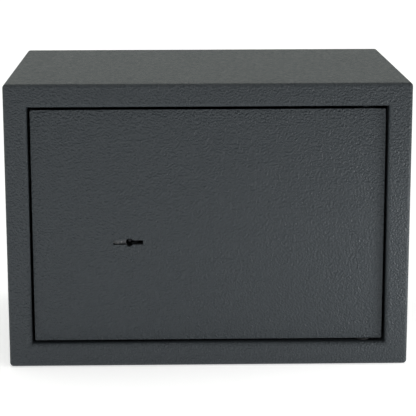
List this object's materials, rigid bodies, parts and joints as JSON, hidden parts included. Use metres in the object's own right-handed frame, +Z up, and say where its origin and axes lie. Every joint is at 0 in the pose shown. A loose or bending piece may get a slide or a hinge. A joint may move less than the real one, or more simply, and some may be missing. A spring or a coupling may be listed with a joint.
{
  "type": "furniture safe",
  "caption": "Small rectangular sheet steel safe with a recessed plate door on hidden hinges, a horizontal keyhole, sliding round bolts and a lever lock.",
  "frame": {"origin": "bottom centre of the safe's overall box", "axes": "+X right seen from the front, +Y towards the back, +Z up; the door faces -Y"},
  "size_m": [0.35, 0.25, 0.25],
  "materials": {
    "powder_coat": "fine textured powder coat",
    "zinc_plated_steel": "zinc plated",
    "phosphated_steel": "dark grey phosphated sheet",
    "bright_steel": "turned and bright",
    "lever_steel": "stamped and tumbled",
    "die_cast_zinc": "as cast",
    "black_nylon": "moulded nylon",
    "spring_wire": "drawn wire"
  },
  "bodies": {
    "body": {"body_shell": "powder_coat", "back_panel": "powder_coat", "hinge_plate_lower": "powder_coat", "hinge_plate_upper": "powder_coat", "hinge_washer": "black_nylon"},
    "door": {"door_plate": "powder_coat", "hinge_lug_lower": "powder_coat", "hinge_lug_upper": "powder_coat", "hinge_pin_lower": "powder_coat", "hinge_pin_upper": "powder_coat", "dead_bar": "powder_coat", "bolt_guide": "zinc_plated_steel", "inner_cover": "powder_coat", "stand_off_1": "zinc_plated_steel", "stand_off_2": "zinc_plated_steel", "stand_off_3": "zinc_plated_steel", "stand_off_4": "zinc_plated_steel", "cover_screw_1": "zinc_plated_steel", "cover_screw_2": "zinc_plated_steel", "cover_screw_3": "zinc_plated_steel", "cover_screw_4": "zinc_plated_steel", "lock_case": "phosphated_steel", "lock_lid": "phosphated_steel", "lock_pillar_1": "zinc_plated_steel", "lock_pillar_2": "zinc_plated_steel", "lock_pillar_3": "zinc_plated_steel", "lock_pillar_4": "zinc_plated_steel", "lid_screw_1": "zinc_plated_steel", "lid_screw_2": "zinc_plated_steel", "lid_screw_3": "zinc_plated_steel", "lid_screw_4": "zinc_plated_steel", "lock_stud_1": "zinc_plated_steel", "lock_stud_2": "zinc_plated_steel", "lock_nut_1": "zinc_plated_steel", "lock_nut_2": "zinc_plated_steel", "curtain_ring": "zinc_plated_steel", "lever_post": "bright_steel", "drill_pin": "bright_steel"},
    "boltwork": {"lock_bolt": "zinc_plated_steel", "bolt_stump": "bright_steel", "bolt_bar": "zinc_plated_steel", "live_bolt_lower": "bright_steel", "live_bolt_upper": "bright_steel", "bolt_screw_lower": "zinc_plated_steel", "bolt_screw_upper": "zinc_plated_steel", "link_screw_lower": "zinc_plated_steel", "link_screw_upper": "zinc_plated_steel"},
    "key_curtain": {"curtain": "die_cast_zinc"},
    "lever_1_body": {"lever_1": "lever_steel", "lever_spring_1": "spring_wire"},
    "lever_2_body": {"lever_2": "lever_steel", "lever_spring_2": "spring_wire"},
    "lever_3_body": {"lever_3": "lever_steel", "lever_spring_3": "spring_wire"},
    "lever_4_body": {"lever_4": "lever_steel", "lever_spring_4": "spring_wire"},
    "lever_5_body": {"lever_5": "lever_steel", "lever_spring_5": "spring_wire"}
  },
  "joints": [
    {"name": "door_swing", "type": "hinge", "parent": "body", "child": "door", "pos_m": [0.1365, -0.112, 0.125], "axis": [0, 0, 1], "range_deg": [0, 105]},
    {"name": "bolt_throw", "type": "slide", "parent": "door", "child": "boltwork", "axis": [-1, 0, 0], "range_m": [0, 0.013]},
    {"name": "key_turn", "type": "hinge", "parent": "door", "child": "key_curtain", "pos_m": [-0.0686, -0.1018, 0.1106], "axis": [0, 1, 0], "range_deg": [0, 360]},
    {"name": "lever_1_lift", "type": "hinge", "parent": "door", "child": "lever_1_body", "pos_m": [-0.043, -0.1121, 0.1106], "axis": [0, 1, 0], "range_deg": [0, 5], "deforming": ["lever_spring_1"]},
    {"name": "lever_2_lift", "type": "hinge", "parent": "door", "child": "lever_2_body", "pos_m": [-0.043, -0.11, 0.1106], "axis": [0, 1, 0], "range_deg": [0, 5], "deforming": ["lever_spring_2"]},
    {"name": "lever_3_lift", "type": "hinge", "parent": "door", "child": "lever_3_body", "pos_m": [-0.043, -0.1079, 0.1106], "axis": [0, 1, 0], "range_deg": [0, 5], "deforming": ["lever_spring_3"]},
    {"name": "lever_4_lift", "type": "hinge", "parent": "door", "child": "lever_4_body", "pos_m": [-0.043, -0.1058, 0.1106], "axis": [0, 1, 0], "range_deg": [0, 5], "deforming": ["lever_spring_4"]},
    {"name": "lever_5_lift", "type": "hinge", "parent": "door", "child": "lever_5_body", "pos_m": [-0.043, -0.1037, 0.1106], "axis": [0, 1, 0], "range_deg": [0, 5], "deforming": ["lever_spring_5"]}
  ],
  "couplings": [
    {"joint": "key_turn", "follows": "bolt_throw", "rad_per_m": 483.32},
    {"joint": "lever_1_lift", "follows": "bolt_throw", "rad_per_m": 6.711},
    {"joint": "lever_2_lift", "follows": "bolt_throw", "rad_per_m": 6.711},
    {"joint": "lever_3_lift", "follows": "bolt_throw", "rad_per_m": 6.711},
    {"joint": "lever_4_lift", "follows": "bolt_throw", "rad_per_m": 6.711},
    {"joint": "lever_5_lift", "follows": "bolt_throw", "rad_per_m": 6.711}
  ]
}
